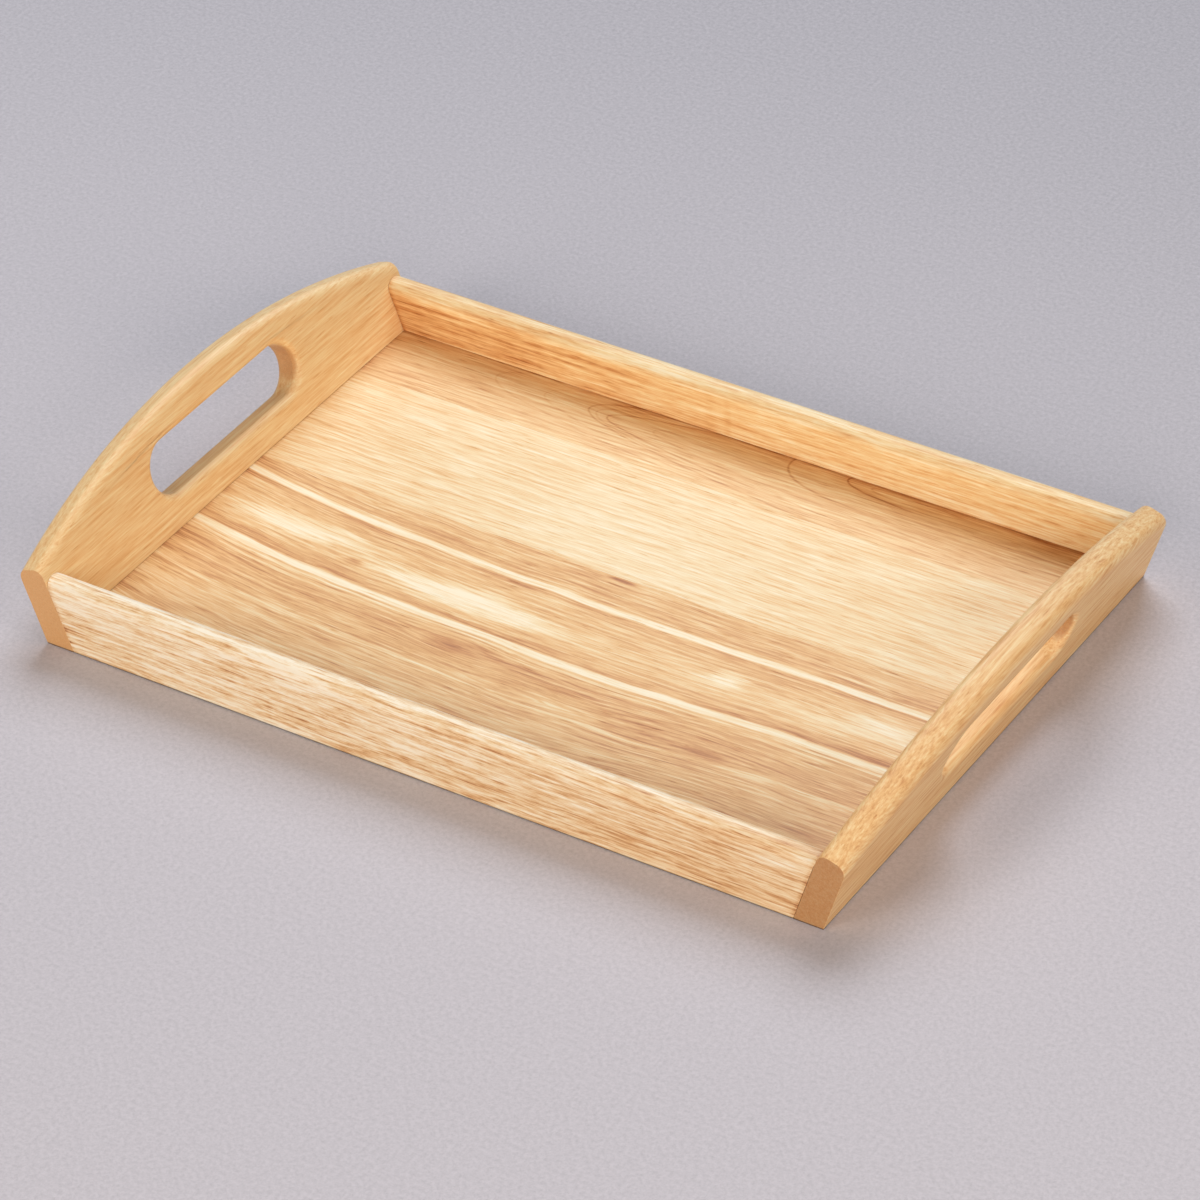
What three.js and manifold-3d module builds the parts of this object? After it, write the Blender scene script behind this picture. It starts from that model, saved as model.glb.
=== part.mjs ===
// Wooden serving tray: two leaning end boards with hand holes, two straight rails,
// a floor of three edge-glued boards held in grooves, and eight blind corner dowels.
// Millimetres, +Z up. The tray is long in X. The origin is at the middle of its base.

import * as THREE from 'three';
import { mergeVertices } from 'three/addons/utils/BufferGeometryUtils.js';
import Module from 'manifold-3d';

const wasm = await Module();
wasm.setup();

// ---------------------------------------------------------------- driving dimensions

// Overall
const baseLength = 431; // between the outer bottom edges of the end boards
const width = 300; // across the rails, and the length of each end board

// End boards
const boardThickness = 14.8;
const leanDegrees = 18.4; // outward lean from upright
const endRise = 3.3; // the end board's shoulder above the rail's top
const topEdgeRound = 5;

// Hand holes
const slotLength = 118;
const slotHeight = 28;
const slotSill = 15.5; // floor surface to the slot's lower wall, along the inner face
const slotEdgeRound = 4;
const gripHeight = 17.5; // wood above the slot at the middle of the arch

// Rails
const railHeight = 38;
const railThickness = 12;
const railTopRound = 5;
const railBottomChamfer = 0.8;

// Floor
const floorSurface = 11.5; // height of the floor's upper face above the table
const floorThickness = 6;
const floorTongue = 4.5; // how far the floor reaches into each groove
const backBoardWidth = 45.5;
const middleBoardWidth = 82.5; // the front board takes what is left

// Dowels
const dowelDiameter = 6;
const dowelInBoard = 8;
const dowelInRail = 14;
const dowelChamfer = 0.7;
const dowelsPerCorner = 2;

// Clearances
const glueGap = 0.3; // between glued faces
const grooveClearance = 0.3; // above and below the floor
const grooveEndGap = 0.8; // room for the floor to swell, at the bottom of each groove
const dowelClearance = 0.2; // round each dowel
const dowelEndGap = 1; // glue space at the bottom of each dowel hole

// Smoothness
const archSegments = 40;
const slotEndSegments = 12;
const edgeRoundSegments = 4;
const dowelSides = 20;

// ---------------------------------------------------------------- worked out from them

const lean = THREE.MathUtils.degToRad(leanDegrees);
const boardFootprint = boardThickness / Math.cos(lean); // the board's thickness along X
const boardSkew = boardFootprint * Math.sin(lean); // inner edge's offset along the slope

const floorUnderside = floorSurface - floorThickness;
const grooveFloor = floorUnderside - grooveClearance;
const grooveTop = floorSurface + grooveClearance;
const grooveDepth = floorTongue + grooveEndGap;

const floorWidth = width - 2 * railThickness + 2 * floorTongue;
const floorLength = 2 * (innerFace(floorSurface) + floorTongue);

// Heights along the slope of an end board, from its outer bottom edge
const slotBottom = floorSurface / Math.cos(lean) + slotSill - boardSkew;
const slotMiddle = slotBottom + slotHeight / 2;
const crownHeight = slotBottom + slotHeight + gripHeight;
const shoulderZ = railHeight + endRise - (boardThickness / 2) * Math.sin(lean);
const shoulderHeight = shoulderZ / Math.cos(lean);
const archRise = crownHeight - shoulderHeight;
const archRadius = ((width / 2) ** 2 + archRise ** 2) / (2 * archRise);

// Half the clear length between the end boards at a height above the table
function innerFace(height) {
  return baseLength / 2 - boardFootprint + height * Math.tan(lean);
}

// ---------------------------------------------------------------- solids and booleans

// A closed solid for joining and cutting, from a three.js geometry
function solid(geometry) {
  geometry.deleteAttribute('normal');
  geometry.deleteAttribute('uv');
  const merged = mergeVertices(geometry, 1e-4);
  const mesh = new wasm.Mesh({
    numProp: 3,
    vertProperties: new Float32Array(merged.attributes.position.array),
    triVerts: new Uint32Array(merged.index.array),
  });
  mesh.merge();
  return new wasm.Manifold(mesh);
}

// A three.js geometry from a solid
function geometryOf(body) {
  const mesh = body.getMesh();
  const geometry = new THREE.BufferGeometry();
  geometry.setAttribute('position', new THREE.BufferAttribute(mesh.vertProperties, 3));
  geometry.setIndex(new THREE.BufferAttribute(mesh.triVerts, 1));
  geometry.computeVertexNormals();
  return geometry;
}

// A box between two corners
function block(low, high) {
  const size = new THREE.Vector3(...high).sub(new THREE.Vector3(...low));
  const middle = new THREE.Vector3(...high).add(new THREE.Vector3(...low)).multiplyScalar(0.5);
  return new THREE.BoxGeometry(size.x, size.y, size.z).translate(middle.x, middle.y, middle.z);
}

// A plate with rounded edges: the outline lies in Y (across) and Z (up), the plate fills
// X from 0 to its thickness, and the rounding is taken off inside the outline.
function roundedPlate(outline, thickness, round) {
  const plate = new THREE.ExtrudeGeometry(outline, {
    depth: thickness - 2 * round,
    bevelEnabled: true,
    bevelThickness: round,
    bevelSize: round,
    bevelOffset: -round,
    bevelSegments: edgeRoundSegments,
    curveSegments: slotEndSegments,
  });
  plate.translate(0, 0, round);
  const acrossUpThrough = new THREE.Matrix4().makeBasis(
    new THREE.Vector3(0, 1, 0),
    new THREE.Vector3(0, 0, 1),
    new THREE.Vector3(1, 0, 0),
  );
  return plate.applyMatrix4(acrossUpThrough);
}

// ---------------------------------------------------------------- outlines

// The arch, carried past both ends and below the base, so that the trimmed ends are square
function archOutline() {
  const overhang = topEdgeRound + boardThickness;
  const half = width / 2 + overhang;
  const reach = Math.asin(half / archRadius);
  const outline = new THREE.Shape();
  outline.moveTo(-half, -overhang);
  outline.lineTo(half, -overhang);
  for (let i = 0; i <= archSegments; i++) {
    const angle = reach * (1 - (2 * i) / archSegments);
    const across = archRadius * Math.sin(angle);
    outline.lineTo(across, crownHeight - archRadius * (1 - Math.cos(angle)));
  }
  return outline;
}

// A panel larger than the board, with the round-ended slot in it
function slottedOutline() {
  const halfWidth = width;
  const halfHeight = crownHeight * 2;
  const outline = new THREE.Shape();
  outline.moveTo(-halfWidth, -halfHeight);
  outline.lineTo(halfWidth, -halfHeight);
  outline.lineTo(halfWidth, halfHeight);
  outline.lineTo(-halfWidth, halfHeight);
  const radius = slotHeight / 2;
  const straight = slotLength / 2 - radius;
  const slot = new THREE.Path();
  slot.absarc(straight, slotMiddle, radius, -Math.PI / 2, Math.PI / 2);
  slot.absarc(-straight, slotMiddle, radius, Math.PI / 2, (3 * Math.PI) / 2);
  outline.holes.push(slot);
  return outline;
}

// Cross-section of a rail in Y (0 at its outer face, inward positive) and Z
function railSection() {
  const c = railBottomChamfer;
  const r = railTopRound;
  const t = railThickness;
  const h = railHeight;
  const section = new THREE.Shape();
  section.moveTo(c, 0);
  section.lineTo(t - c, 0);
  section.lineTo(t, c);
  section.lineTo(t, grooveFloor);
  section.lineTo(t - grooveDepth, grooveFloor);
  section.lineTo(t - grooveDepth, grooveTop);
  section.lineTo(t, grooveTop);
  section.lineTo(t, h - r);
  section.absarc(t - r, h - r, r, 0, Math.PI / 2);
  section.lineTo(r, h);
  section.absarc(r, h - r, r, Math.PI / 2, Math.PI);
  section.lineTo(0, c);
  return section;
}

// ---------------------------------------------------------------- dowels

// Height of a dowel's axis: the dowels share the rail's height above its groove
function dowelHeight(index) {
  return grooveTop + ((railHeight - grooveTop) * (index + 0.5)) / dowelsPerCorner;
}

// A round bar along X from the joint face: into the board at -X, into the rail at +X
function bar(radius, inBoard, inRail, chamfer) {
  const profile = [
    new THREE.Vector2(0, -inBoard),
    new THREE.Vector2(radius - chamfer, -inBoard),
    new THREE.Vector2(radius, -inBoard + chamfer),
    new THREE.Vector2(radius, inRail - chamfer),
    new THREE.Vector2(radius - chamfer, inRail),
    new THREE.Vector2(0, inRail),
  ];
  return new THREE.LatheGeometry(profile, dowelSides).rotateZ(-Math.PI / 2);
}

function dowelHole() {
  const radius = dowelDiameter / 2 + dowelClearance;
  return bar(radius, dowelInBoard + dowelEndGap, dowelInRail + dowelEndGap, dowelChamfer);
}

// ---------------------------------------------------------------- sub-parts

const across = width / 2 - railThickness / 2; // from the middle of the tray to a rail's middle

// End board in its own frame: X runs inward from the outer bottom edge, Y along the board
function endBoard() {
  const plate = solid(roundedPlate(archOutline(), boardThickness, topEdgeRound).rotateY(-lean));
  const slotted = solid(
    roundedPlate(slottedOutline(), boardThickness, slotEdgeRound).rotateY(-lean),
  );
  const far = crownHeight * 2;
  const trim = solid(block([-far, -width / 2, 0], [far, width / 2, far]));
  const floorEdge = baseLength / 2 - innerFace(floorSurface) - grooveDepth;
  const halfGroove = floorWidth / 2 + grooveEndGap;
  const groove = solid(
    block([floorEdge, -halfGroove, grooveFloor], [far, halfGroove, grooveTop]),
  );
  let board = plate.intersect(slotted).intersect(trim).subtract(groove);
  for (const side of [-1, 1]) {
    for (let i = 0; i < dowelsPerCorner; i++) {
      const z = dowelHeight(i);
      const hole = dowelHole().translate(baseLength / 2 - innerFace(z), side * across, z);
      board = board.subtract(solid(hole));
    }
  }
  return geometryOf(board);
}

// Rail in its own frame: X along the rail, Y inward from its outer face
function rail() {
  const longest = baseLength * 2;
  const along = new THREE.ExtrudeGeometry(railSection(), {
    depth: longest,
    bevelEnabled: false,
    curveSegments: edgeRoundSegments * 2,
  });
  along.translate(0, 0, -longest / 2);
  const inwardUpAlong = new THREE.Matrix4().makeBasis(
    new THREE.Vector3(0, 1, 0),
    new THREE.Vector3(0, 0, 1),
    new THREE.Vector3(1, 0, 0),
  );
  along.applyMatrix4(inwardUpAlong);

  // The rail's side view: its ends follow the lean of the end boards
  const low = -railHeight;
  const high = railHeight * 2;
  const sideView = new THREE.Shape();
  sideView.moveTo(-innerFace(low) + glueGap, low);
  sideView.lineTo(innerFace(low) - glueGap, low);
  sideView.lineTo(innerFace(high) - glueGap, high);
  sideView.lineTo(-innerFace(high) + glueGap, high);
  const between = new THREE.ExtrudeGeometry(sideView, { depth: width, bevelEnabled: false });
  between.translate(0, 0, -width / 2).rotateX(Math.PI / 2);

  let body = solid(along).intersect(solid(between));
  for (const end of [0, Math.PI]) {
    for (let i = 0; i < dowelsPerCorner; i++) {
      const z = dowelHeight(i);
      const hole = dowelHole().translate(-innerFace(z), 0, z).rotateZ(end);
      body = body.subtract(solid(hole.translate(0, railThickness / 2, 0)));
    }
  }
  return geometryOf(body);
}

// Floor boards from back to front, as their back and front edges in Y
function floorBoards() {
  const halfWidth = floorWidth / 2;
  const backSeam = halfWidth - backBoardWidth;
  const frontSeam = backSeam - middleBoardWidth;
  return [
    { name: 'floor_board_back', back: halfWidth, front: backSeam + glueGap },
    { name: 'floor_board_middle', back: backSeam, front: frontSeam + glueGap },
    { name: 'floor_board_front', back: frontSeam, front: -halfWidth },
  ];
}

// ---------------------------------------------------------------- materials

function wood(colour, roughness) {
  return new THREE.MeshStandardMaterial({ color: colour, roughness, metalness: 0 });
}

const boardWood = wood(0xd9a86c, 0.42);
const railWood = wood(0xe6c08c, 0.42);
const floorWood = wood(0xe3b880, 0.45);
const dowelWood = wood(0xd8b585, 0.7);

function named(name, geometry, material) {
  const mesh = new THREE.Mesh(geometry, material.clone());
  mesh.name = name;
  return mesh;
}

// ---------------------------------------------------------------- assembly

const tray = new THREE.Group();

const ends = [
  { name: 'left', x: -baseLength / 2, turn: 0 },
  { name: 'right', x: baseLength / 2, turn: Math.PI },
];

for (const end of ends) {
  const group = new THREE.Group();
  group.position.x = end.x;
  group.rotation.z = end.turn;
  group.add(named(`${end.name}_end_board`, endBoard(), boardWood));
  for (const side of [-1, 1]) {
    const rowName = side * Math.cos(end.turn) < 0 ? 'front' : 'back';
    for (let i = 0; i < dowelsPerCorner; i++) {
      const z = dowelHeight(i);
      const shape = bar(dowelDiameter / 2, dowelInBoard, dowelInRail, dowelChamfer);
      const dowel = named(`dowel_${rowName}_${end.name}_${i + 1}`, shape, dowelWood);
      dowel.position.set(baseLength / 2 - innerFace(z), side * across, z);
      group.add(dowel);
    }
  }
  tray.add(group);
}

const rails = [
  { name: 'front_rail', y: -width / 2, turn: 0 },
  { name: 'back_rail', y: width / 2, turn: Math.PI },
];

for (const { name, y, turn } of rails) {
  const piece = named(name, rail(), railWood);
  piece.position.y = y;
  piece.rotation.z = turn;
  tray.add(piece);
}

for (const { name, back, front } of floorBoards()) {
  const low = [-floorLength / 2, front, floorUnderside];
  const high = [floorLength / 2, back, floorSurface];
  tray.add(named(name, block(low, high), floorWood));
}

export default tray;
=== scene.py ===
"""Wooden serving tray: the looks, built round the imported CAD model.

Metres, +Z up. The tray is long in X, and its origin is at the middle of its base.
Every piece is modelled in place, so its object coordinates are the tray's own.
"""

import math

import bmesh
import bpy
from mathutils import Matrix, Vector


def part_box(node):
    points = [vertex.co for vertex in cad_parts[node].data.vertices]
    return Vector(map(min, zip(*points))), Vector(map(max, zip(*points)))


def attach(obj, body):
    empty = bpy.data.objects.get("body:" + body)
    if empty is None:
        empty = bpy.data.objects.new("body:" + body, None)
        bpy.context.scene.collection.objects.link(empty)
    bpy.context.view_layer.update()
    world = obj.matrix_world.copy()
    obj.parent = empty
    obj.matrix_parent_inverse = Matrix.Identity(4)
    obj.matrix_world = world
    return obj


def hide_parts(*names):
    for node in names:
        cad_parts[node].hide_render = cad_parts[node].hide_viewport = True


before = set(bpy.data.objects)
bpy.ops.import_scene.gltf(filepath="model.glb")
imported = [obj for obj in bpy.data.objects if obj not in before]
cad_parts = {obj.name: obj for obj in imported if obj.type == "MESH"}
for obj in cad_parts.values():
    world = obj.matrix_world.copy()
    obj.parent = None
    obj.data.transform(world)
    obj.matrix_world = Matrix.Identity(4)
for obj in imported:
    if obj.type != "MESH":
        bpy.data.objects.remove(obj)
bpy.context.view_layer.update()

MM = 0.001

# ------------------------------------------------------------------ sizes

# End boards, as in the CAD model
LEAN = math.radians(18.4)  # outward lean from upright
BOARD_THICKNESS = 14.8 * MM
END_RISE = 3.3 * MM  # the board's shoulder above the rail's top
TOP_ROUND = 5 * MM
SLOT_LENGTH = 118 * MM
SLOT_HEIGHT = 28 * MM
SLOT_SILL = 15.5 * MM
SLOT_ROUND = 4 * MM
GRIP_HEIGHT = 17.5 * MM

# Rails and grooves, as in the CAD model
RAIL_TOP_ROUND = 5 * MM
GROOVE_CLEARANCE = 0.3 * MM
GROOVE_END_GAP = 0.8 * MM

# Dowels and their holes, as in the CAD model
DOWEL_RADIUS = 3 * MM
DOWEL_CLEARANCE = 0.2 * MM
DOWEL_END_GAP = 1 * MM

# Finish of the joints and edges
ARRIS = 0.6 * MM  # the sanded edge of a board
RAIL_FOOT_ROUND = 0.6 * MM
FOOT_SHADOW_BAND = 1.1 * MM  # height of the painted dark band along the foot, a painted contact shadow
GROOVE_LIP = 0.5 * MM
RAIL_END_ARRIS = 0.35 * MM
SEAM_ARRIS = 0.12 * MM
SEAM_GAP = 0.04 * MM
RAIL_JOINT_GAP = 0.12 * MM

# Smoothness
ARCH_POINTS = 96
SIDE_POINTS = 8
SLOT_QUARTER_POINTS = 16
ROUND_SEGMENTS = 8
HOLE_SIDES = 32
SHARP_ANGLE = math.radians(38)

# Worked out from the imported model
rail_low, rail_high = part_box("front_rail")
floor_low, floor_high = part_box("floor_board_front")
WIDTH = -2 * rail_low.y
RAIL_HEIGHT = rail_high.z
RAIL_THICKNESS = rail_high.y - rail_low.y
FLOOR_TOP = floor_high.z
FLOOR_UNDERSIDE = floor_low.z
FLOOR_TONGUE = rail_high.y - floor_low.y
INNER_BASE = -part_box("left_end_board")[1].x  # half the clear length at the table
BASE_HALF = INNER_BASE + BOARD_THICKNESS / math.cos(LEAN)

SLOT_BOTTOM = (FLOOR_TOP / math.cos(LEAN) + SLOT_SILL
               - BOARD_THICKNESS * math.tan(LEAN))
SLOT_MIDDLE = SLOT_BOTTOM + SLOT_HEIGHT / 2
CROWN = SLOT_BOTTOM + SLOT_HEIGHT + GRIP_HEIGHT
SHOULDER = (RAIL_HEIGHT + END_RISE - BOARD_THICKNESS / 2 * math.sin(LEAN)) / math.cos(LEAN)
ARCH_RISE = CROWN - SHOULDER
ARCH_RADIUS = ((WIDTH / 2) ** 2 + ARCH_RISE ** 2) / (2 * ARCH_RISE)


def inner_face(height):
    """Half the clear length between the end boards at a height above the table."""
    return INNER_BASE + height * math.tan(LEAN)


# ------------------------------------------------------------------ mesh helpers

def new_object(name, bm):
    bmesh.ops.recalc_face_normals(bm, faces=bm.faces)
    mesh = bpy.data.meshes.new(name)
    bm.to_mesh(mesh)
    bm.free()
    piece = bpy.data.objects.new(name, mesh)
    bpy.context.scene.collection.objects.link(piece)
    return piece


def skin(bm, rows, closed):
    """Quads between rows of points; every row is a closed ring. Returns the rings of vertices."""
    rings = [[bm.verts.new(point) for point in row] for row in rows]
    pairs = list(zip(rings, rings[1:]))
    if closed:
        pairs.append((rings[-1], rings[0]))
    for ring, following in pairs:
        for i in range(len(ring)):
            j = (i + 1) % len(ring)
            bm.faces.new((ring[i], ring[j], following[j], following[i]))
    return rings


def slice_off(bm, point, outward):
    """Cuts away what is beyond a plane, and closes the cut."""
    everything = bm.verts[:] + bm.edges[:] + bm.faces[:]
    cut = bmesh.ops.bisect_plane(
        bm, geom=everything, plane_co=point, plane_no=outward, clear_outer=True, dist=1e-7)
    edges = [e for e in cut["geom_cut"] if isinstance(e, bmesh.types.BMEdge)]
    bmesh.ops.edgeloop_fill(bm, edges=edges)


def ease(bm, edges, width, segments=3):
    bmesh.ops.bevel(bm, geom=list(edges), offset=width, offset_type="OFFSET", segments=segments,
                    profile=0.5, affect="EDGES", clamp_overlap=True)


def box_mesh(low, high):
    bm = bmesh.new()
    size = [h - l for l, h in zip(low, high)]
    middle = [(h + l) / 2 for l, h in zip(low, high)]
    placed = Matrix.Translation(middle) @ Matrix.Diagonal((*size, 1))
    bmesh.ops.create_cube(bm, size=1, matrix=placed)
    return bm


def bar_mesh(radius, start, end):
    """A round bar along X between two points."""
    start, end = Vector(start), Vector(end)
    bm = bmesh.new()
    turn = Matrix.Rotation(math.pi / 2, 4, "Y")
    bmesh.ops.create_cone(bm, cap_ends=True, segments=HOLE_SIDES, radius1=radius, radius2=radius,
                          depth=(end - start).length,
                          matrix=Matrix.Translation((start + end) / 2) @ turn)
    return bm


def carve(piece, cutters):
    """Takes the cutters out of the piece and applies the cut."""
    tool_mesh = bmesh.new()
    for cutter in cutters:
        scratch = bpy.data.meshes.new("cutter")
        cutter.to_mesh(scratch)
        cutter.free()
        tool_mesh.from_mesh(scratch)
        bpy.data.meshes.remove(scratch)
    tool = new_object("cutter", tool_mesh)
    boolean = piece.modifiers.new("carve", "BOOLEAN")
    boolean.operation = "DIFFERENCE"
    boolean.solver = "EXACT"
    boolean.object = tool
    evaluated = piece.evaluated_get(bpy.context.evaluated_depsgraph_get())
    carved = bpy.data.meshes.new_from_object(evaluated)
    piece.modifiers.clear()
    piece.data = carved
    carved.name = piece.name
    bpy.data.objects.remove(tool)


def smooth(piece):
    """Smooth shading that keeps flat faces flat and true corners sharp."""
    piece.data.shade_smooth()
    piece.data.set_sharp_from_angle(angle=SHARP_ANGLE)
    weighted = piece.modifiers.new("weighted normals", "WEIGHTED_NORMAL")
    weighted.keep_sharp = True
    weighted.weight = 100


def finish_piece(piece, node, material):
    smooth(piece)
    piece.data.materials.clear()
    piece.data.materials.append(material)
    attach(piece, "root")
    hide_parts(node)


# ------------------------------------------------------------------ end boards

def board_point(side, across, up, depth):
    """A point of an end board: up the slope from its outer bottom edge, in from its outer face."""
    outward = BASE_HALF + up * math.sin(LEAN) - depth * math.cos(LEAN)
    return Vector((side * outward, across, up * math.cos(LEAN) + depth * math.sin(LEAN)))


def arch_ring(inset):
    """The arch, then the way back round below the base, as (across, up)."""
    half = WIDTH / 2 + BOARD_THICKNESS + TOP_ROUND
    reach = math.asin(half / ARCH_RADIUS)
    radius = ARCH_RADIUS - inset
    centre = CROWN - ARCH_RADIUS
    ring = []
    for i in range(ARCH_POINTS):
        angle = reach * (1 - 2 * i / (ARCH_POINTS - 1))
        ring.append((radius * math.sin(angle), centre + radius * math.cos(angle)))
    shoulder = ring[0][1]
    below = -BOARD_THICKNESS - TOP_ROUND + inset
    edge = ring[0][0]
    bottom_points = ARCH_POINTS - 2 * SIDE_POINTS
    for i in range(1, SIDE_POINTS + 1):
        ring.append((-edge, shoulder + (below - shoulder) * i / SIDE_POINTS))
    for i in range(1, bottom_points):
        ring.append((edge * (2 * i / bottom_points - 1), below))
    for i in range(SIDE_POINTS + 1):
        ring.append((edge, below + (shoulder - below) * i / (SIDE_POINTS + 1)))
    return ring


def slot_ring(outset):
    """The hand hole's outline, anticlockwise from its right-hand end, as (across, up)."""
    radius = SLOT_HEIGHT / 2 + outset
    straight = SLOT_LENGTH / 2 - SLOT_HEIGHT / 2
    quarter = SLOT_QUARTER_POINTS
    line_points = ARCH_POINTS - 2 * quarter
    ring = []
    for turn in (0, math.pi):
        way = 1 if turn == 0 else -1
        for i in range(quarter):
            angle = turn + math.pi / 2 * i / quarter
            ring.append((way * straight + radius * math.cos(angle),
                         SLOT_MIDDLE + radius * math.sin(angle)))
        for i in range(line_points):
            ring.append((way * straight * (1 - 2 * i / line_points), SLOT_MIDDLE + way * radius))
        for i in range(quarter):
            angle = turn + math.pi / 2 * (1 + i / quarter)
            ring.append((-way * straight + radius * math.cos(angle),
                         SLOT_MIDDLE + radius * math.sin(angle)))
    return ring


def rounding(radius):
    """(distance from the edge, depth) over a quarter round, from the face to the edge."""
    steps = [math.pi / 2 * i / ROUND_SEGMENTS for i in range(ROUND_SEGMENTS + 1)]
    return [(radius * (1 - math.sin(a)), radius * (1 - math.cos(a))) for a in steps]


def end_board(name, side):
    rows = []
    outer_edge = rounding(TOP_ROUND)
    slot_edge = rounding(SLOT_ROUND)
    for inset, depth in outer_edge:
        rows.append([board_point(side, a, u, depth) for a, u in arch_ring(inset)])
    for inset, depth in reversed(outer_edge):
        rows.append([board_point(side, a, u, BOARD_THICKNESS - depth)
                     for a, u in arch_ring(inset)])
    for outset, depth in slot_edge:
        rows.append([board_point(side, a, u, BOARD_THICKNESS - depth)
                     for a, u in slot_ring(outset)])
    for outset, depth in reversed(slot_edge):
        rows.append([board_point(side, a, u, depth) for a, u in slot_ring(outset)])
    bm = bmesh.new()
    skin(bm, rows, closed=True)
    bmesh.ops.recalc_face_normals(bm, faces=bm.faces)

    # Trimmed square at both ends and along the base, with the new edges sanded
    slice_off(bm, (0, WIDTH / 2, 0), (0, 1, 0))
    slice_off(bm, (0, -WIDTH / 2, 0), (0, -1, 0))
    slice_off(bm, (0, 0, 0), (0, 0, -1))
    trimmed = set()
    for face in bm.faces:
        middle = face.calc_center_median()
        on_end = abs(abs(middle.y) - WIDTH / 2) < 1e-6
        on_base = abs(middle.z) < 1e-6
        if on_end or on_base:
            trimmed.update(face.edges)
    ease(bm, trimmed, ARRIS)
    piece = new_object(name, bm)

    # The floor's groove, and the dowels' holes
    depth = inner_face(FLOOR_TOP) + FLOOR_TONGUE + GROOVE_END_GAP
    half = WIDTH / 2 - RAIL_THICKNESS + FLOOR_TONGUE + GROOVE_END_GAP
    xs = sorted((side * depth, side * (INNER_BASE - BOARD_THICKNESS)))
    groove = box_mesh((xs[0], -half, FLOOR_UNDERSIDE - GROOVE_CLEARANCE),
                      (xs[1], half, FLOOR_TOP + GROOVE_CLEARANCE))
    holes = [dowel_hole(node) for node in dowel_nodes if name.split("_")[0] in node]
    carve(piece, [groove] + holes)
    return piece


# ------------------------------------------------------------------ dowels

dowel_nodes = sorted(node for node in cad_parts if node.startswith("dowel"))
DOWEL_SIDES = 96
DOWEL_FLUTES = 16
DOWEL_FLUTE_DEPTH = 0.28 * MM
DOWEL_CHAMFER = 0.7 * MM


def dowel_hole(node):
    low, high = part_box(node)
    axis = (low + high) / 2
    return bar_mesh(DOWEL_RADIUS + DOWEL_CLEARANCE,
                    (low.x - DOWEL_END_GAP, axis.y, axis.z),
                    (high.x + DOWEL_END_GAP, axis.y, axis.z))


def fluted_dowel(node):
    """A beech dowel: pressed flutes along its sides, and chamfered ends."""
    low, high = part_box(node)
    axis = (low + high) / 2
    flute_end = DOWEL_CHAMFER + DOWEL_FLUTE_DEPTH
    stations = [
        (low.x, DOWEL_CHAMFER, 0),
        (low.x + DOWEL_CHAMFER, 0, 0.4),
        (low.x + flute_end, 0, 1),
        (high.x - flute_end, 0, 1),
        (high.x - DOWEL_CHAMFER, 0, 0.4),
        (high.x, DOWEL_CHAMFER, 0),
    ]
    rows = []
    for x, lost, fluting in stations:
        row = []
        for i in range(DOWEL_SIDES):
            angle = 2 * math.pi * i / DOWEL_SIDES
            valley = (0.5 - 0.5 * math.cos(DOWEL_FLUTES * angle)) ** 2
            radius = DOWEL_RADIUS - lost - fluting * DOWEL_FLUTE_DEPTH * valley
            row.append((x, axis.y + radius * math.cos(angle), axis.z + radius * math.sin(angle)))
        rows.append(row)
    bm = bmesh.new()
    rings = skin(bm, rows, closed=False)
    bm.faces.new(rings[0])
    bm.faces.new(rings[-1])
    return new_object("fluted_" + node, bm)


# ------------------------------------------------------------------ rails

def rail_section():
    """The rail's cross-section, anticlockwise, as (distance in from its outer face, height)."""
    t, h, r, f = RAIL_THICKNESS, RAIL_HEIGHT, RAIL_TOP_ROUND, RAIL_FOOT_ROUND
    groove = t - FLOOR_TONGUE - GROOVE_END_GAP
    groove_low = FLOOR_UNDERSIDE - GROOVE_CLEARANCE
    groove_high = FLOOR_TOP + GROOVE_CLEARANCE

    def corner(centre_y, centre_z, radius, start, steps):
        angles = [math.radians(start + 90 * i / steps) for i in range(steps + 1)]
        return [(centre_y + radius * math.cos(a), centre_z + radius * math.sin(a)) for a in angles]

    section = corner(f, f, f, 180, 3)
    section += corner(t - f, f, f, 270, 3)
    section += [(t, groove_low), (groove, groove_low), (groove, groove_high),
                (t - GROOVE_LIP, groove_high), (t, groove_high + GROOVE_LIP)]
    section += corner(t - r, h - r, r, 0, ROUND_SEGMENTS)
    section += corner(r, h - r, r, 90, ROUND_SEGMENTS)
    return section


def rail(name, side):
    """side is -1 for the front rail and +1 for the back one."""
    rows = []
    for end in (-1, 1):
        row = []
        for inward, height in rail_section():
            x = end * (inner_face(height) - RAIL_JOINT_GAP)
            row.append((x, side * (WIDTH / 2 - inward), height))
        rows.append(row)
    bm = bmesh.new()
    rings = skin(bm, rows, closed=False)
    caps = [bm.faces.new(ring) for ring in rings]
    ease(bm, {edge for cap in caps for edge in cap.edges}, RAIL_END_ARRIS, segments=2)
    piece = new_object(name, bm)
    carve(piece, [dowel_hole(node) for node in dowel_nodes if name.split("_")[0] in node])
    return piece


# ------------------------------------------------------------------ floor

FLOOR_NODES = ("floor_board_back", "floor_board_middle", "floor_board_front")


def floor_board(name, node):
    """The board fills the CAD model's gap at its front seam, down to a hairline."""
    low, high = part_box(node)
    others = [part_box(n)[1].y for n in FLOOR_NODES if n != node]
    in_front = [y for y in others if y < low.y + MM]
    if in_front:
        low.y = max(in_front) + SEAM_GAP
    bm = box_mesh(low, high)
    ease(bm, bm.edges[:], SEAM_ARRIS, segments=2)
    return new_object(name, bm)


# ------------------------------------------------------------------ node graphs

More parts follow.
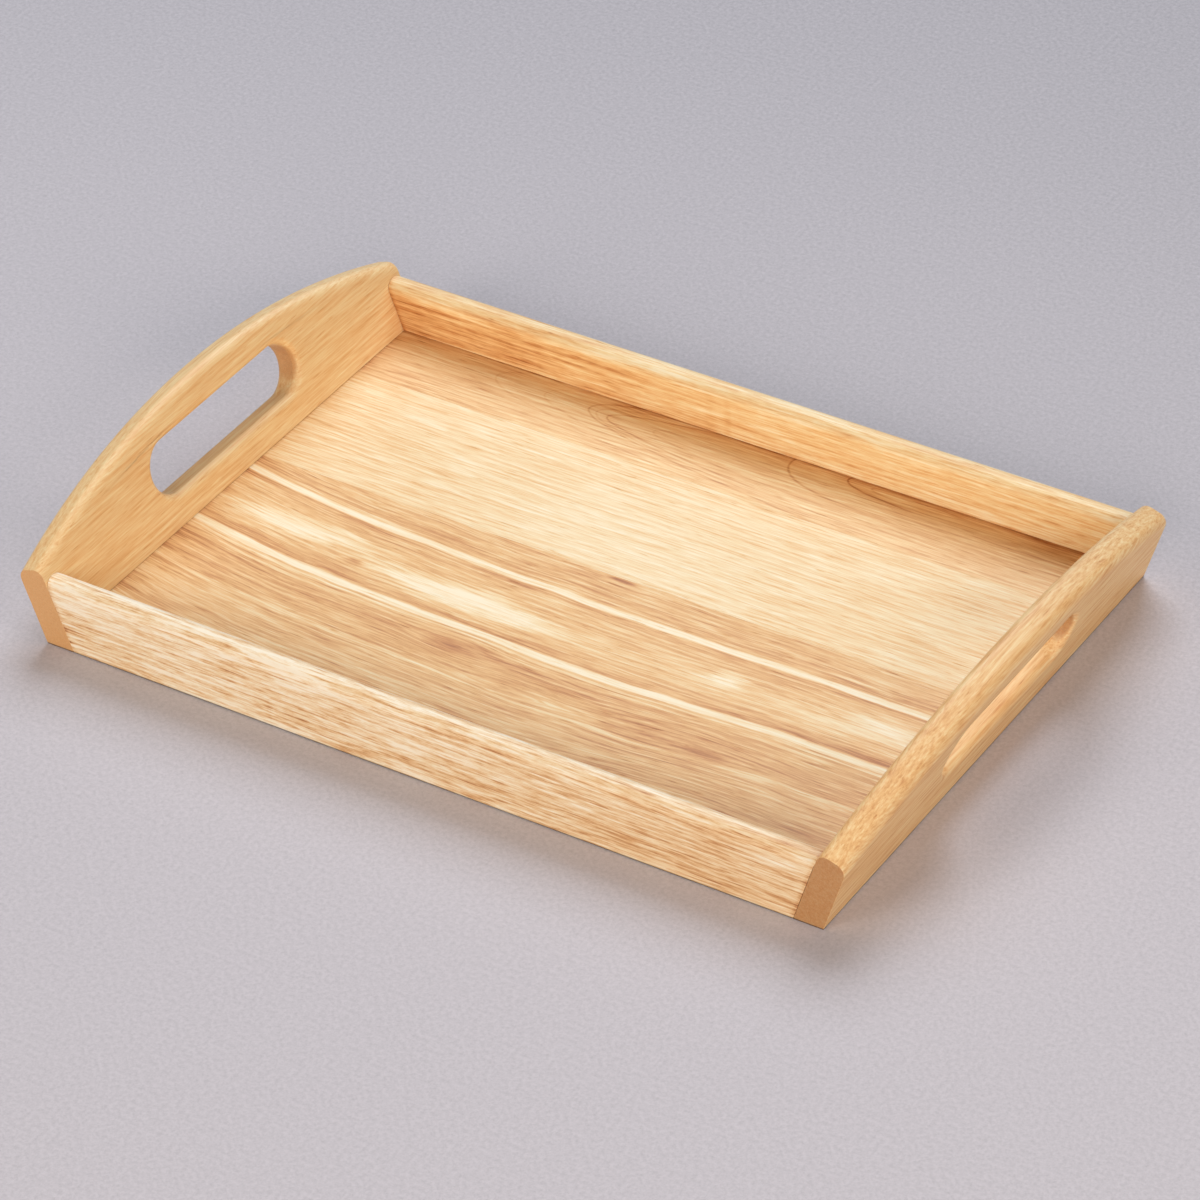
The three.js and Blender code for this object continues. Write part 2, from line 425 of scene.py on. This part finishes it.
class Field:
    """A value that varies over a surface. Sums and products of fields build math nodes."""

    def __init__(self, graph, socket):
        self.graph = graph
        self.socket = socket

    def __add__(self, other):
        return self.graph.math("ADD", self, other)

    def __sub__(self, other):
        return self.graph.math("SUBTRACT", self, other)

    def __rsub__(self, other):
        return self.graph.math("SUBTRACT", other, self)

    def __mul__(self, other):
        return self.graph.math("MULTIPLY", self, other)

    def __truediv__(self, other):
        return self.graph.math("DIVIDE", self, other)

    __radd__ = __add__
    __rmul__ = __mul__


class Graph:
    """The node tree of one material."""

    def __init__(self, name):
        self.material = bpy.data.materials.new(name)
        self.material.use_nodes = True
        self.tree = self.material.node_tree
        self.shader = self.tree.nodes["Principled BSDF"]
        place = self.tree.nodes.new("ShaderNodeTexCoord")
        split = self.tree.nodes.new("ShaderNodeSeparateXYZ")
        self.tree.links.new(place.outputs["Object"], split.inputs[0])
        self.x, self.y, self.z = (Field(self, split.outputs[i]) for i in range(3))
        facing = self.tree.nodes.new("ShaderNodeSeparateXYZ")
        self.tree.links.new(place.outputs["Normal"], facing.inputs[0])
        self.normal = [Field(self, facing.outputs[i]) for i in range(3)]

    def plug(self, value, socket):
        if isinstance(value, Field):
            self.tree.links.new(value.socket, socket)
        else:
            socket.default_value = value

    def math(self, operation, a, b=None):
        node = self.tree.nodes.new("ShaderNodeMath")
        node.operation = operation
        self.plug(a, node.inputs[0])
        if b is not None:
            self.plug(b, node.inputs[1])
        return Field(self, node.outputs[0])

    def step(self, value, start, end):
        """0 below start, 1 above end, and smooth between."""
        node = self.tree.nodes.new("ShaderNodeMapRange")
        node.interpolation_type = "SMOOTHSTEP"
        self.plug(value, node.inputs["Value"])
        self.plug(start, node.inputs["From Min"])
        self.plug(end, node.inputs["From Max"])
        return Field(self, node.outputs["Result"])

    def noise(self, point, detail, roughness):
        """Noise from -1 to 1 at a point that is already scaled to it."""
        node = self.tree.nodes.new("ShaderNodeTexNoise")
        node.inputs["Scale"].default_value = 1
        node.inputs["Detail"].default_value = detail
        node.inputs["Roughness"].default_value = roughness
        join = self.tree.nodes.new("ShaderNodeCombineXYZ")
        for value, socket in zip(point, join.inputs):
            self.plug(value, socket)
        self.tree.links.new(join.outputs[0], node.inputs["Vector"])
        return (Field(self, node.outputs["Fac"]) - 0.5) * 3.2

    def ramp(self, value, stops):
        """A colour, or a grey level, from stops of (place, level or colour)."""
        node = self.tree.nodes.new("ShaderNodeValToRGB")
        elements = node.color_ramp.elements
        while len(elements) < len(stops):
            elements.new(0.5)
        for element, (place, level) in zip(elements, stops):
            element.position = place
            colour = level if isinstance(level, tuple) else (level,) * 3
            element.color = (*colour, 1)
        self.plug(value, node.inputs["Fac"])
        return Field(self, node.outputs["Color"])

    def blend(self, share, first, second):
        node = self.tree.nodes.new("ShaderNodeMix")
        node.data_type = "RGBA"
        self.plug(share, node.inputs["Factor"])
        for value, socket in ((first, node.inputs[6]), (second, node.inputs[7])):
            self.plug((*value, 1) if isinstance(value, tuple) else value, socket)
        return Field(self, node.outputs[2])

    def finish(self, colour, roughness, height, bump, coat):
        shader = self.shader
        self.plug(colour, shader.inputs["Base Color"])
        self.plug(roughness, shader.inputs["Roughness"])
        shader.inputs["IOR"].default_value = 1.45
        shader.inputs["Coat Weight"].default_value = coat
        shader.inputs["Coat Roughness"].default_value = 0.3
        relief = self.tree.nodes.new("ShaderNodeBump")
        relief.inputs["Strength"].default_value = 1
        relief.inputs["Distance"].default_value = bump
        self.plug(height, relief.inputs["Height"])
        self.tree.links.new(relief.outputs["Normal"], shader.inputs["Normal"])
        return self.material


def srgb(red, green, blue):
    """A screen colour from 0 to 255, as the linear colour that nodes take."""
    def linear(level):
        level /= 255
        return level / 12.92 if level <= 0.04045 else ((level + 0.055) / 1.055) ** 2.4
    return tuple(linear(level) for level in (red, green, blue))


# ------------------------------------------------------------------ woods

# From the darkest lines to the palest ones
RUSSET = (srgb(172, 100, 46), srgb(211, 148, 88), srgb(236, 188, 128), srgb(247, 216, 162),
          srgb(254, 237, 200))
PALE = (srgb(178, 112, 62), srgb(212, 156, 102), srgb(236, 196, 146), srgb(246, 220, 180),
        srgb(254, 240, 216))
AMBER = (srgb(174, 104, 50), srgb(212, 149, 86), srgb(237, 189, 126), srgb(247, 219, 170),
         srgb(254, 239, 208))


GRAIN_RELIEF = 0.06 * MM  # height of the raised grain


class Grain:
    """Coordinates of a piece of wood: along the grain, across the face, and through the piece."""

    def __init__(self, graph, along, across, through, seed):
        self.graph = graph
        self.along = along
        self.across = across
        self.through = through
        self.seed = seed

    def fibres(self, per_metre_along, per_metre_across, detail=2.0, roughness=0.55, seed=0):
        """Noise drawn out along the grain. The counts are its features in a metre."""
        point = (self.along * per_metre_along + (self.seed + seed) * 7.3,
                 self.across * per_metre_across + seed * 3.1,
                 self.through * per_metre_across)
        return self.graph.noise(point, detail, roughness)

    def waver(self):
        """Lets the fibres wander a little to either side."""
        slow = self.fibres(5, 18, detail=2, seed=61) * (1.1 * MM)
        quick = self.fibres(28, 60, detail=1, seed=62) * (0.25 * MM)
        self.across = self.across + slow + quick

    def spot(self, along, across, half_length, half_width, ragged=0.35):
        """1 in the middle of a soft-edged spot, drawn out along the grain, and 0 outside it."""
        graph = self.graph
        u = (self.along - along) / half_length
        v = (self.across - across) / half_width
        distance = graph.math("SQRT", u * u + v * v)
        rough = distance + self.fibres(40, 500, detail=3, seed=along * 1000) * ragged
        return 1 - graph.step(rough, 0.2, 1.15)


def plain_texture(grain, bands, lines, pores):
    """The fine structure that all the boards share: (tone, pore mask, height)."""
    graph = grain.graph
    medium = grain.fibres(8, 170, detail=4, roughness=0.65, seed=1)
    fine = grain.fibres(26, 620, detail=4, roughness=0.7, seed=2)
    hair = grain.fibres(60, 1300, detail=2, roughness=0.6, seed=3)
    dashes = graph.step(grain.fibres(75, 1150, detail=2, seed=4), 0.35, 0.9)
    flecks = graph.step(grain.fibres(60, 900, detail=2, seed=5), 0.45, 1.0)
    tone = (medium * (0.24 * bands) + fine * (0.42 * lines) + hair * (0.18 * lines)
            - dashes * (0.28 * pores) + flecks * (0.24 * pores))
    height = fine * 0.3 + hair * 0.4 - dashes * 1.2
    return tone, dashes, height


def coloured(graph, tone, colours):
    return graph.ramp(tone, [(i / (len(colours) - 1), c) for i, c in enumerate(colours)])


def end_grain(graph, colour, along_normal, grain):
    """Cut ends are darker and browner, with the ends of the pores showing."""
    facing = graph.step(graph.math("ABSOLUTE", along_normal), 0.6, 0.9)
    speckle = graph.noise((graph.x * 1500, graph.y * 1500, graph.z * 1500), 2, 0.6) * 0.12
    rightward = graph.step(graph.x, -0.1, 0.1)
    shade = graph.ramp(speckle + 0.62 - rightward * 0.27,
                       [(0.2, srgb(150, 92, 48)), (0.8, srgb(228, 168, 106))])
    return graph.blend(facing * 0.75, colour, shade)


def wood(name, grain_of, colours, figure, bands=1.0, lines=1.0, pores=1.0, coat=0.06, seed=0):
    """A wood material. figure gives the tone's broad pattern from the grain."""
    graph = Graph(name)
    along, across, through, along_normal = grain_of(graph)
    grain = Grain(graph, along, across, through, seed)
    grain.waver()
    broad = figure(grain)
    texture, dashes, height = plain_texture(grain, bands, lines, pores)
    tone = broad + texture
    colour = coloured(graph, tone, colours)
    colour = end_grain(graph, colour, along_normal, grain)
    # Painted shadow: a dark band along the foot of every piece stands in for its contact shadow on
    # the table
    uneven = graph.z + grain.fibres(12, 40, seed=81) * (0.1 * MM)
    painted_foot_shadow = 1 - graph.step(uneven, FOOT_SHADOW_BAND * 0.6, FOOT_SHADOW_BAND)
    colour = graph.blend(painted_foot_shadow * 0.85, colour, srgb(84, 66, 54))
    roughness = 0.54 + dashes * 0.12 + grain.fibres(5, 60, seed=6) * 0.03
    return graph.finish(colour, roughness, height, GRAIN_RELIEF, coat)


def floor_grain(graph):
    """Along the tray, across it, and up through the floor."""
    return graph.x, graph.y, graph.z, graph.normal[0]


def rail_grain(graph):
    """Along a rail, up its face, and through it."""
    return graph.x, graph.z, graph.y, graph.normal[0]


def board_grain(side):
    """Along an end board, up its slope, and through it."""
    def grain_of(graph):
        up = graph.x * (side * math.sin(LEAN)) + graph.z * math.cos(LEAN)
        through = graph.x * (side * math.cos(LEAN)) - graph.z * math.sin(LEAN)
        return graph.y, up, through, graph.normal[1]
    return grain_of


def even_figure(level, spread=0.12):
    def figure(grain):
        return (grain.fibres(1.6, 16, detail=2, seed=11) * spread
                + grain.fibres(4, 70, detail=2, seed=12) * spread * 0.5 + level)
    return figure


def board_figure(level, spread):
    """Even, with a painted highlight along the lower edge of the hand hole."""
    def figure(grain):
        graph = grain.graph
        straight = SLOT_LENGTH / 2 - SLOT_HEIGHT / 2
        beyond = graph.math("MAXIMUM", graph.math("ABSOLUTE", grain.along) - straight, 0.0)
        rise = grain.across - SLOT_MIDDLE
        outside = graph.math("SQRT", beyond * beyond + rise * rise) - SLOT_HEIGHT / 2
        # Painted highlight on the rounded lower edge of the hand hole
        edge = 1 - graph.step(graph.math("ABSOLUTE", outside - 1.2 * MM), 0.4 * MM, 2.8 * MM)
        lower = 1 - graph.step(rise, -12 * MM, -2 * MM)
        return even_figure(level, spread)(grain) + edge * lower * 0.26
    return figure


CORNER_LINE = 1.8 * MM
CORNER_HAZE = 11 * MM


def painted_corner_shade(grain):
    """Painted shade: the floor darkens in the corner between it and the walls."""
    graph = grain.graph
    to_rail = WIDTH / 2 - RAIL_THICKNESS - graph.math("ABSOLUTE", graph.y)
    to_board = inner_face(FLOOR_TOP) - graph.math("ABSOLUTE", graph.x)
    near = graph.math("MINIMUM", to_rail, to_board)
    near = near + grain.fibres(9, 60, detail=2, seed=71) * (1.2 * MM)
    return ((1 - graph.step(near, 0, CORNER_LINE)) * 0.12
            + (1 - graph.step(near, 0, CORNER_HAZE)) * 0.10)


def middle_figure(grain):
    """Pale and even, brightest near the middle, with a darker left end and back right corner, and
    painted shade along the walls.
    """
    graph = grain.graph
    broad = grain.fibres(2.5, 22, detail=2, seed=21) * 0.06 + grain.fibres(6, 90, seed=22) * 0.05
    bright = grain.spot(-0.010, 0.032, 0.110, 0.040)
    left_end = 1 - graph.step(grain.along, -0.205, -0.150)
    dark_patch = grain.spot(0.165, 0.078, 0.045, 0.020)
    return broad + 0.70 + bright * 0.10 - left_end * 0.04 - dark_patch * 0.10 - painted_corner_shade(grain)


# The loops of the back board: the tip's place, how far the line runs for each half width, the
# half width, how soon it levels out, and its strength. Lengths in mm.
BACK_LOOPS = (
    (-84, 127, 66, 20, 0.0, 0.20), (-79, 126, 66, 17.5, 0.0, 0.12), (-72, 125, 66, 14.5, 0.0, 0.24),
    (-45, 125, 60, 11, 0.0, 0.10), (28, 136, 19, 21, 0.65, 0.24), (60, 136, 18, 9, 0.9, 0.30),
    (74, 135, 16, 4, 0.9, 0.14), (-140, 128, 90, 24, 0.0, 0.10), (-110, 127, 80, 22, 0.0, 0.08),
)


def back_figure(grain):
    """Honey-coloured, with the nested loops of flat-sawn wood towards the back rail, and painted
    shade along the walls.
    """
    graph = grain.graph
    wobble = grain.fibres(22, 45, detail=2, seed=31) * (1.1 * MM)
    across = grain.across + wobble
    broad = grain.fibres(2.5, 24, detail=2, seed=32) * 0.05
    lines = 0
    for tip, middle, reach, half_width, level, strength in BACK_LOOPS:
        u = (grain.along - tip * MM) / (reach * MM)
        v = (across - middle * MM) / (half_width * MM)
        flat = 1 + graph.math("MAXIMUM", u, 0.0) * level
        off_line = v * v - u / flat
        slope_u = 1 / (reach * MM)
        slope_v = v * (2 / (half_width * MM))
        distance = graph.math("ABSOLUTE", off_line) / graph.math(
            "SQRT", slope_v * slope_v + slope_u * slope_u)
        fade = 1 - graph.step(u, 1.4, 3.4)
        lines = (1 - graph.step(distance, 0.1 * MM, 0.9 * MM)) * fade * strength + lines
    loops = graph.step(across, 0.098, 0.128) * graph.step(grain.along, -0.12, -0.02)
    rightward = graph.step(grain.along, 0.02, 0.17)
    leftward = 1 - graph.step(grain.along, -0.205, -0.02)
    return (broad + 0.64 - lines - loops * 0.12 - rightward * 0.08 - leftward * 0.10
            - painted_corner_shade(grain))


# The bands of the front board, from back to front: the distance in mm from the tray's middle line
# at the left end, and the tone
FRONT_BANDS = (
    (14.5, 0.48), (12.4, 0.34), (11.2, 0.52), (9.6, 0.34), (8.0, 0.54), (6.4, 0.40),
    (5.4, 0.90), (2.2, 0.96), (1.0, 0.28), (-1.5, 0.44), (-12, 0.50), (-22, 0.60),
    (-33, 0.50), (-38, 0.40), (-40.6, 0.30), (-42, 0.94), (-45.4, 0.97), (-46.6, 0.40),
    (-48.2, 0.78), (-49.8, 0.42), (-52, 0.60), (-54, 0.38), (-64, 0.42), (-75.5, 0.38),
    (-77, 0.70), (-79, 0.46), (-98, 0.52), (-103, 0.40), (-110, 0.40), (-113, 0.62),
    (-138, 0.54),
)

# Its blotches: the middle along and across, half the length and width in mm, and how much paler
FRONT_BLOTCHES = (
    (-150, -26, 55, 10, 0.34), (-50, -37, 60, 12, 0.40), (91, -29, 12, 8, 0.36),
    (176, -25, 30, 9, 0.34), (18, -86, 65, 10, 0.20), (-113.4, -37.5, 8, 3, -0.40),
    (-37, -69.5, 16, 5.5, -0.18), (10, -84, 18, 6, -0.13), (92, -84, 50, 13, -0.08),
    (176, -50, 35, 10, -0.12), (7, -93, 45, 10, -0.10), (7.5, 12.5, 9, 2, -0.35),
)

# Where its lines part: the middle along and across, half the length and width, in mm
FRONT_KNOTS = (
    (7, 23.5, 16, 4), (-113, -27, 22, 6), (-37, -56, 24, 8), (10, -72, 30, 8), (92, -72, 40, 12),
)


def front_figure(grain):
    """Cream lines that wander along the board, with pale blotches and small knots between them, and
    painted shade along the walls.
    """
    graph = grain.graph
    blotches = 0
    for along, across, half_length, half_width, paler in FRONT_BLOTCHES:
        spot = grain.spot(along * MM, across * MM, half_length * MM, half_width * MM)
        blotches = spot * paler + blotches
    start = grain.along + 0.204
    settled = 1 - graph.math("EXPONENT", start * (-1 / 0.075))
    rise = graph.step(grain.along, 0.0, 0.14) * (0.0014 - grain.across * 0.075)
    wave = grain.fibres(14, 12, detail=2, seed=41) * (1.1 * MM)
    place = grain.across + settled * 0.0135 - rise + wave

    # The lines part round each small knot
    for along, across, half_length, half_width in FRONT_KNOTS:
        u = (grain.along - along * MM) / (half_length * MM)
        v = (place - across * MM) / (half_width * MM)
        near = graph.math("EXPONENT", (u * u + v * v) * -1)
        place = place - (place - across * MM) * near * 0.6

    low, high = FRONT_BANDS[-1][0] * MM, FRONT_BANDS[0][0] * MM
    share = (place - low) / (high - low)
    stops = [((mm * MM - low) / (high - low), tone) for mm, tone in reversed(FRONT_BANDS)]
    tone = graph.ramp(share, stops)
    grain.across = place
    broken = grain.fibres(5, 160, detail=3, seed=42)
    tone = tone + broken * 0.07 + grain.fibres(3, 40, seed=43) * 0.05
    return tone + blotches - painted_corner_shade(grain) * 0.6


def painted_joint_shade(grain):
    """Painted shade: a rail darkens in its last 3 mm, in the corner where it meets an end board."""
    graph = grain.graph
    to_board = INNER_BASE + graph.z * math.tan(LEAN) - graph.math("ABSOLUTE", graph.x)
    return (1 - graph.step(to_board, 0.3 * MM, 3 * MM)) * 0.2


def front_rail_figure(grain):
    """Bold cream and tan streaks under a pale top edge, darker and browner to the right, partly in
    the wood and partly as painted shade.
    """
    graph = grain.graph
    streaks = graph.step(grain.fibres(26, 330, detail=5, roughness=0.75, seed=52), -0.5, 0.5) - 0.5
    thin = graph.step(grain.fibres(45, 800, detail=3, roughness=0.7, seed=56), -0.4, 0.6) - 0.45
    curl = grain.fibres(170, 520, detail=3, roughness=0.6, seed=53)
    patches = grain.fibres(7, 80, detail=2, seed=54)
    # Darker to the right: partly the wood's own colour, partly painted shade where the light falls
    # off
    rightward = graph.step(grain.along, -0.08, 0.21)
    bold = 1 - rightward * 0.55
    upper = graph.step(grain.across, 0.020, 0.036)
    left_top = graph.step(grain.across, 0.033, 0.0365) * (1 - graph.step(grain.along, -0.2, -0.06))
    flame = graph.step(grain.fibres(10, 110, detail=3, seed=55), 0.1, 1.1) * (1 - upper)
    return ((streaks * 0.60 + curl * 0.20) * bold + thin * 0.26 + patches * 0.04 + upper * 0.08
            + left_top * 0.12 - flame * (rightward * 0.15 + 0.03) - rightward * 0.18
            - painted_joint_shade(grain) + 0.72)


def back_rail_figure(grain):
    """Orange-brown and streaky, with painted shadow of the left end board over its left end, and
    painted shade at its foot along the floor.
    """
    graph = grain.graph
    streaks = grain.fibres(16, 330, detail=3, roughness=0.6, seed=52)
    curl = grain.fibres(130, 400, detail=2, seed=53)
    patches = grain.fibres(5, 60, detail=2, seed=54)
    # Painted shadow of the left end board: it darkens the left end of the face, but not its top
    # edge
    leftward = 1 - graph.step(grain.along, -0.20, 0.02)
    top = graph.step(grain.across, 0.030, 0.035)
    knot = grain.spot(-0.020, 0.020, 0.005, 0.016) + grain.spot(-0.010, 0.022, 0.003, 0.014)
    # Painted shade in the corner where the rail meets the floor
    foot = 1 - graph.step(grain.across, 0.0115, 0.0135)
    return (streaks * 0.12 + curl * 0.10 + patches * 0.03 - leftward * 0.34 - knot * 0.10
            + top * (leftward * 0.26 - 0.01) - foot * 0.10 - painted_joint_shade(grain) + 0.72)


WOODS = {
    "left_end_board": wood("left end board", board_grain(-1), RUSSET, board_figure(0.61, 0.03),
                           bands=0.1, lines=0.65, pores=0.75, seed=1),
    "right_end_board": wood("right end board", board_grain(1), RUSSET, board_figure(0.54, 0.04),
                            bands=0.2, lines=0.85, pores=0.75, seed=2),
    "front_rail": wood("front rail", rail_grain, PALE, front_rail_figure, lines=1.3, seed=3),
    "back_rail": wood("back rail", rail_grain, RUSSET, back_rail_figure,
                      bands=0.5, lines=1.1, seed=4),
    "floor_board_back": wood("back floor board", floor_grain, RUSSET, back_figure,
                             bands=0.3, lines=0.9, seed=5),
    "floor_board_middle": wood("middle floor board", floor_grain, AMBER, middle_figure,
                               bands=0.4, lines=0.9, seed=6),
    "floor_board_front": wood("front floor board", floor_grain, AMBER, front_figure,
                              bands=0.4, seed=7),
    "dowel": wood("dowel", floor_grain, PALE, even_figure(0.5), coat=0.0, seed=8),
}

# ------------------------------------------------------------------ pieces

for side, node in ((-1, "left_end_board"), (1, "right_end_board")):
    finish_piece(end_board(node.replace("_", "_arched_", 1), side), node,
                 WOODS[node])
for side, node in ((-1, "front_rail"), (1, "back_rail")):
    finish_piece(rail(node.replace("_", "_straight_", 1), side), node, WOODS[node])
for node in FLOOR_NODES:
    finish_piece(floor_board(node.replace("floor", "grooved_floor"), node), node,
                 WOODS[node])
for node in dowel_nodes:
    finish_piece(fluted_dowel(node), node, WOODS["dowel"])

# ------------------------------------------------------------------ stage

STAGE_HALF = 4.0


def stage():
    """Speckled grey paper, with painted light falloff that darkens it towards the back."""
    bm = bmesh.new()
    corners = ((-1, -1), (1, -1), (1, 1), (-1, 1))
    bm.faces.new([bm.verts.new((x * STAGE_HALF, y * STAGE_HALF, 0)) for x, y in corners])
    floor = new_object("studio_floor", bm)
    graph = Graph("studio paper")
    speckle = graph.noise((graph.x * 450, graph.y * 450, graph.z), 4, 0.8)
    # Painted light falloff: the paper darkens towards the back
    painted_falloff = graph.step(graph.y, -0.15, 0.8)
    level = speckle * 0.46 + 0.84 - painted_falloff * 0.62
    graph.plug(graph.ramp(level, [(0, srgb(160, 157, 163)), (1, srgb(207, 202, 208))]),
               graph.shader.inputs["Base Color"])
    graph.shader.inputs["Roughness"].default_value = 0.85
    graph.shader.inputs["IOR"].default_value = 1.4
    floor.data.materials.append(graph.material)


def area_light(name, azimuth, elevation, distance, size, power, colour):
    """A square soft light that points at the tray. Azimuth is anticlockwise from +X."""
    light = bpy.data.lights.new(name, "AREA")
    light.shape = "SQUARE"
    light.size = size
    light.energy = power
    light.color = colour
    lamp = bpy.data.objects.new(name, light)
    a, e = math.radians(azimuth), math.radians(elevation)
    away = Vector((math.cos(a) * math.cos(e), math.sin(a) * math.cos(e), math.sin(e)))
    lamp.location = away * distance
    lamp.rotation_mode = "QUATERNION"
    lamp.rotation_quaternion = away.to_track_quat("Z", "Y")
    bpy.context.scene.collection.objects.link(lamp)


def studio():
    world = bpy.data.worlds.new("studio")
    world.use_nodes = True
    background = world.node_tree.nodes["Background"]
    background.inputs["Color"].default_value = (1.0, 1.0, 1.0, 1)
    background.inputs["Strength"].default_value = 0.03
    bpy.context.scene.world = world
    area_light("key", 110, 49, 3.6, 2.3, 105, (0.94, 1.0, 1.07))
    area_light("front fill", -110, 24, 3.0, 1.4, 31, (1.10, 1.0, 0.90))
    area_light("camera fill", -60, 24, 3.0, 1.4, 31, (1.08, 1.0, 0.92))
    area_light("right fill", -5, 25, 3.3, 1.6, 34, (1.12, 1.0, 0.88))


# The camera: where it stands round the tray, and the point on its axis
CAMERA_AZIMUTH = math.radians(34.49)  # to the right of the tray's front
CAMERA_ELEVATION = math.radians(36.92)
CAMERA_ROLL = math.radians(3.29)
CAMERA_DISTANCE = 2.7216
CAMERA_AIM = Vector((0.0126, -0.0145, 0.020))
CAMERA_LENS = 172.45  # mm, on a sensor 36 mm wide


def camera():
    lens = bpy.data.cameras.new("camera")
    lens.lens = CAMERA_LENS
    lens.sensor_width = 36
    lens.clip_start = 0.1
    lens.clip_end = 20
    seat = bpy.data.objects.new("camera", lens)
    back = Vector((math.sin(CAMERA_AZIMUTH) * math.cos(CAMERA_ELEVATION),
                   -math.cos(CAMERA_AZIMUTH) * math.cos(CAMERA_ELEVATION),
                   math.sin(CAMERA_ELEVATION)))
    level = back.to_track_quat("Z", "Y").to_matrix().to_4x4()
    turn = Matrix.Rotation(-CAMERA_ROLL, 4, "Z")
    seat.matrix_world = Matrix.Translation(CAMERA_AIM + back * CAMERA_DISTANCE) @ level @ turn
    bpy.context.scene.collection.objects.link(seat)
    bpy.context.scene.camera = seat


stage()
studio()
camera()
bpy.context.scene.view_settings.view_transform = "Standard"
